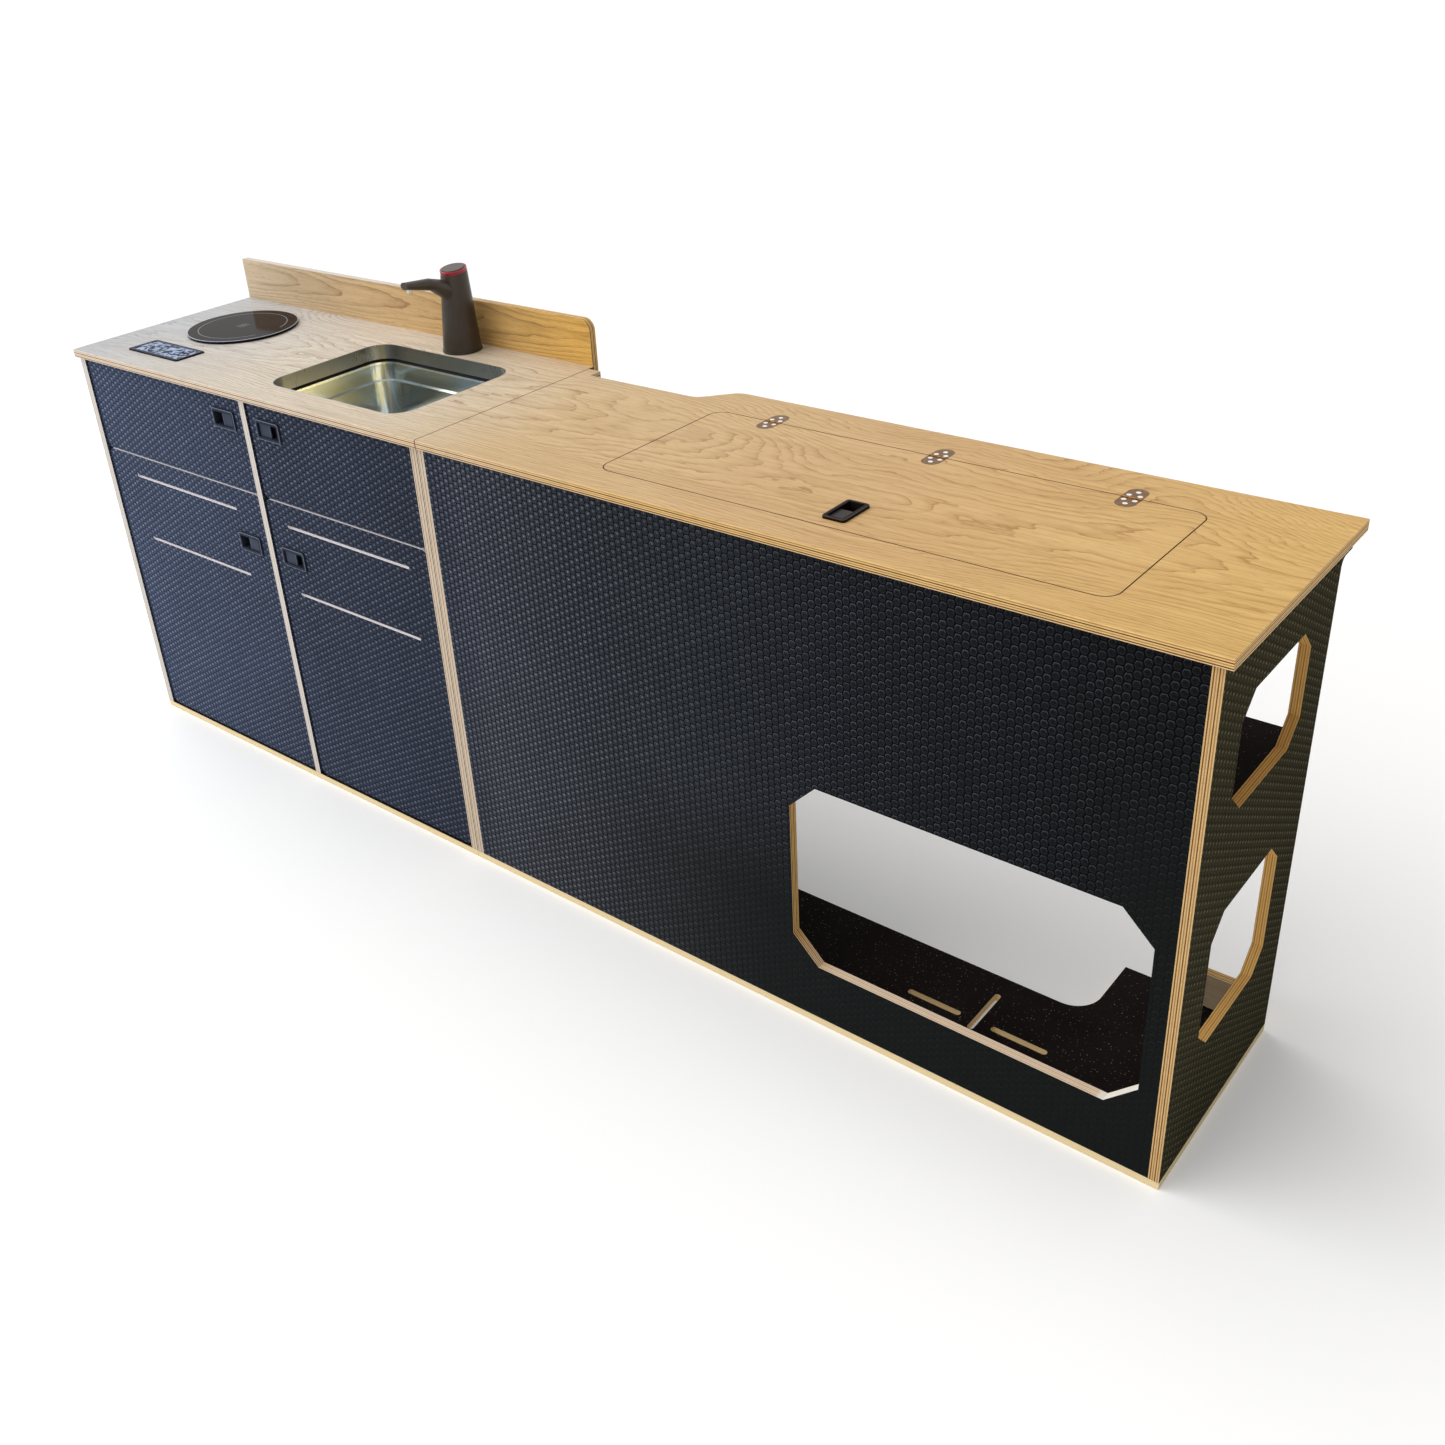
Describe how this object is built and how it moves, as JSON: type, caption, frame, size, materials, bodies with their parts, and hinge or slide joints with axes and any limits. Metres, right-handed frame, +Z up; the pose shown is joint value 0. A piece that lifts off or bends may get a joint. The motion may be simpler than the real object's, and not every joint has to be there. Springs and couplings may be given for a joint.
{
  "type": "van side furniture unit",
  "caption": "Plywood van side unit: inset sink, hob and tap over slam-latched cupboards, joined to a long storage box with a lift-up lid and handled cut-outs.",
  "frame": {"origin": "on the floor under the middle of the unit's length and depth over the worktops", "axes": "+X along the unit from the kitchen end to the storage end, doors face -Y, +Z up"},
  "size_m": [2.2, 0.414, 0.9214],
  "materials": {
    "film_ply": "dark hexagon-embossed film on birch plywood, bare edges",
    "oak_ply": "oak veneer on birch plywood, clear matt lacquer",
    "bare_ply": "bare birch plywood",
    "black_plastic": "satin moulded",
    "grey_plastic": "satin moulded",
    "socket_insert": "glossy moulded",
    "bolt_steel": "zinc-plated",
    "sink_steel": "satin stainless steel",
    "seal_rubber": "matt",
    "hob_glass": "opaque black ceramic glass",
    "hinge_brass": "dull, lacquered",
    "bright_screw": "bright plated",
    "tap_dark": "satin, almost black",
    "tap_red": "crimson, glossy",
    "nozzle_metal": "polished"
  },
  "bodies": {
    "carcass": {"kitchen_base": "film_ply", "kitchen_left_panel": "film_ply", "kitchen_divider": "film_ply", "kitchen_right_panel": "film_ply", "kitchen_shelf_left": "film_ply", "kitchen_shelf_right": "film_ply", "kitchen_worktop": "oak_ply", "upstand": "oak_ply", "door_hinge_arms": "bolt_steel", "latch_keepers": "bolt_steel", "sink_collar": "sink_steel", "sink_gasket": "seal_rubber", "sink_bowl": "sink_steel", "sink_waste": "sink_steel", "hob_glass": "hob_glass", "hob_housing": "black_plastic", "socket_frame": "black_plastic", "mains_socket": "socket_insert", "usb_socket": "socket_insert", "tap_base": "tap_dark", "storage_base": "film_ply", "storage_left_panel": "film_ply", "storage_end_panel": "film_ply", "storage_front_panel": "film_ply", "storage_shelf": "film_ply", "storage_floor_strip": "bare_ply", "storage_worktop": "oak_ply", "lid_support_frame": "bare_ply", "worktop_hinge_leaves": "hinge_brass", "worktop_hinge_screws": "bright_screw"},
    "lid": {"storage_lid": "oak_ply", "lid_hinge_leaves": "hinge_brass", "lid_hinge_screws": "bright_screw", "lid_latch_body": "black_plastic"},
    "lid_paddle": {"lid_latch_paddle": "grey_plastic"},
    "lid_bolt": {"lid_latch_bolt": "bolt_steel"},
    "tap_head": {"tap_body": "tap_dark", "tap_ring": "tap_red", "tap_nozzle": "nozzle_metal"},
    "tap_push_button": {"tap_button": "tap_dark"},
    "door_upper_left": {"door_upper_left": "film_ply", "door_upper_left_hinge_cups": "bolt_steel", "door_upper_left_latch_body": "black_plastic"},
    "door_upper_left_paddle": {"door_upper_left_latch_paddle": "grey_plastic"},
    "door_upper_left_bolt": {"door_upper_left_latch_bolt": "bolt_steel"},
    "door_upper_right": {"door_upper_right": "film_ply", "door_upper_right_hinge_cups": "bolt_steel", "door_upper_right_latch_body": "black_plastic"},
    "door_upper_right_paddle": {"door_upper_right_latch_paddle": "grey_plastic"},
    "door_upper_right_bolt": {"door_upper_right_latch_bolt": "bolt_steel"},
    "door_lower_left": {"door_lower_left": "film_ply", "door_lower_left_hinge_cups": "bolt_steel", "door_lower_left_latch_body": "black_plastic"},
    "door_lower_left_paddle": {"door_lower_left_latch_paddle": "grey_plastic"},
    "door_lower_left_bolt": {"door_lower_left_latch_bolt": "bolt_steel"},
    "door_lower_right": {"door_lower_right": "film_ply", "door_lower_right_hinge_cups": "bolt_steel", "door_lower_right_latch_body": "black_plastic"},
    "door_lower_right_paddle": {"door_lower_right_latch_paddle": "grey_plastic"},
    "door_lower_right_bolt": {"door_lower_right_latch_bolt": "bolt_steel"}
  },
  "joints": [
    {"name": "door_upper_left_swing", "type": "hinge", "parent": "carcass", "child": "door_upper_left", "pos_m": [-1.08, -0.1955, 0.67025], "axis": [0, 0, -1], "range_deg": [0, 110]},
    {"name": "door_upper_left_paddle_lift", "type": "hinge", "parent": "door_upper_left", "child": "door_upper_left_paddle", "pos_m": [-0.6347, -0.1945, 0.7125], "axis": [0, 0, 1], "range_deg": [0, 30]},
    {"name": "door_upper_left_bolt_retract", "type": "slide", "parent": "door_upper_left", "child": "door_upper_left_bolt", "axis": [-1, 0, 0], "range_m": [0, 0.008], "stiffness_N_per_m": 200, "springref_m": -0.003},
    {"name": "door_upper_right_swing", "type": "hinge", "parent": "carcass", "child": "door_upper_right", "pos_m": [-0.17, -0.1955, 0.67025], "axis": [0, 0, 1], "range_deg": [0, 110]},
    {"name": "door_upper_right_paddle_lift", "type": "hinge", "parent": "door_upper_right", "child": "door_upper_right_paddle", "pos_m": [-0.5571, -0.1945, 0.7125], "axis": [0, 0, -1], "range_deg": [0, 30]},
    {"name": "door_upper_right_bolt_retract", "type": "slide", "parent": "door_upper_right", "child": "door_upper_right_bolt", "axis": [1, 0, 0], "range_m": [0, 0.008], "stiffness_N_per_m": 200, "springref_m": -0.003},
    {"name": "door_lower_left_swing", "type": "hinge", "parent": "carcass", "child": "door_lower_left", "pos_m": [-1.08, -0.1955, 0.29725], "axis": [0, 0, -1], "range_deg": [0, 110]},
    {"name": "door_lower_left_paddle_lift", "type": "hinge", "parent": "door_lower_left", "child": "door_lower_left_paddle", "pos_m": [-0.6347, -0.1945, 0.478], "axis": [0, 0, 1], "range_deg": [0, 30]},
    {"name": "door_lower_left_bolt_retract", "type": "slide", "parent": "door_lower_left", "child": "door_lower_left_bolt", "axis": [-1, 0, 0], "range_m": [0, 0.008], "stiffness_N_per_m": 200, "springref_m": -0.003},
    {"name": "door_lower_right_swing", "type": "hinge", "parent": "carcass", "child": "door_lower_right", "pos_m": [-0.17, -0.1955, 0.29725], "axis": [0, 0, 1], "range_deg": [0, 110]},
    {"name": "door_lower_right_paddle_lift", "type": "hinge", "parent": "door_lower_right", "child": "door_lower_right_paddle", "pos_m": [-0.5571, -0.1945, 0.478], "axis": [0, 0, -1], "range_deg": [0, 30]},
    {"name": "door_lower_right_bolt_retract", "type": "slide", "parent": "door_lower_right", "child": "door_lower_right_bolt", "axis": [1, 0, 0], "range_m": [0, 0.008], "stiffness_N_per_m": 200, "springref_m": -0.003},
    {"name": "lid_swing", "type": "hinge", "parent": "carcass", "child": "lid", "pos_m": [0.558, 0.1245, 0.774], "axis": [-1, 0, 0], "range_deg": [0, 95]},
    {"name": "lid_paddle_lift", "type": "hinge", "parent": "lid", "child": "lid_paddle", "pos_m": [0.558, -0.1237, 0.773], "axis": [1, 0, 0], "range_deg": [0, 30]},
    {"name": "lid_bolt_retract", "type": "slide", "parent": "lid", "child": "lid_bolt", "axis": [0, 1, 0], "range_m": [0, 0.008], "stiffness_N_per_m": 200, "springref_m": -0.003},
    {"name": "tap_swivel", "type": "hinge", "parent": "carcass", "child": "tap_head", "pos_m": [-0.421, 0.153, 0.777], "axis": [0, 0, 1], "range_deg": [-90, 90]},
    {"name": "tap_button_press", "type": "slide", "parent": "tap_head", "child": "tap_push_button", "axis": [0, 0.1392, -0.9903], "range_m": [0, 0.0012], "stiffness_N_per_m": 800, "springref_m": -0.002}
  ],
  "couplings": [
    {"joint": "door_upper_left_paddle_lift", "follows": "door_upper_left_bolt_retract", "rad_per_m": 65.45},
    {"joint": "door_upper_right_paddle_lift", "follows": "door_upper_right_bolt_retract", "rad_per_m": 65.45},
    {"joint": "door_lower_left_paddle_lift", "follows": "door_lower_left_bolt_retract", "rad_per_m": 65.45},
    {"joint": "door_lower_right_paddle_lift", "follows": "door_lower_right_bolt_retract", "rad_per_m": 65.45},
    {"joint": "lid_paddle_lift", "follows": "lid_bolt_retract", "rad_per_m": 65.45}
  ]
}
